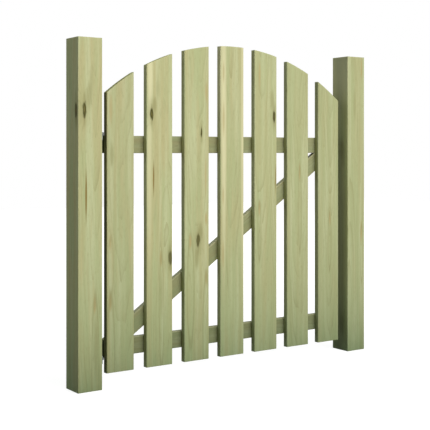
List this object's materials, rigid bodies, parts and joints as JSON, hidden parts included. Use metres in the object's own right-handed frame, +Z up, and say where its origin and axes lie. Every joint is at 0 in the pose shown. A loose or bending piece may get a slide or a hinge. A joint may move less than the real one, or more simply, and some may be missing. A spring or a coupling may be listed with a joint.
{
  "type": "wooden garden gate",
  "caption": "Arched palisade garden gate of treated softwood boards on rails with a diagonal brace, hung between square posts on hook and band hinges.",
  "frame": {"origin": "middle of the hinge post's foot, at ground level", "axes": "+X along the gate from the hinge post to the latch post, +Y from the front with the pales to the back with the rails, +Z up"},
  "size_m": [1.07, 0.075, 0.989],
  "materials": {
    "treated_softwood": "pressure treated pine, planed, pale yellow green with brown knots",
    "galvanised_steel": "hot dip galvanised, dull grey with a soft spangle"
  },
  "bodies": {
    "posts": {"hinge_post": "treated_softwood", "latch_post": "treated_softwood", "top_hook": "galvanised_steel", "bottom_hook": "galvanised_steel"},
    "leaf": {"pale_1": "treated_softwood", "pale_2": "treated_softwood", "pale_3": "treated_softwood", "pale_4": "treated_softwood", "pale_5": "treated_softwood", "pale_6": "treated_softwood", "pale_7": "treated_softwood", "top_rail": "treated_softwood", "bottom_rail": "treated_softwood", "brace": "treated_softwood", "top_band": "galvanised_steel", "bottom_band": "galvanised_steel"}
  },
  "joints": [
    {"name": "leaf_swing", "type": "hinge", "parent": "posts", "child": "leaf", "pos_m": [0.066, 0.02465, 0.4], "axis": [0, 0, 1], "range_deg": [0, 110]}
  ]
}
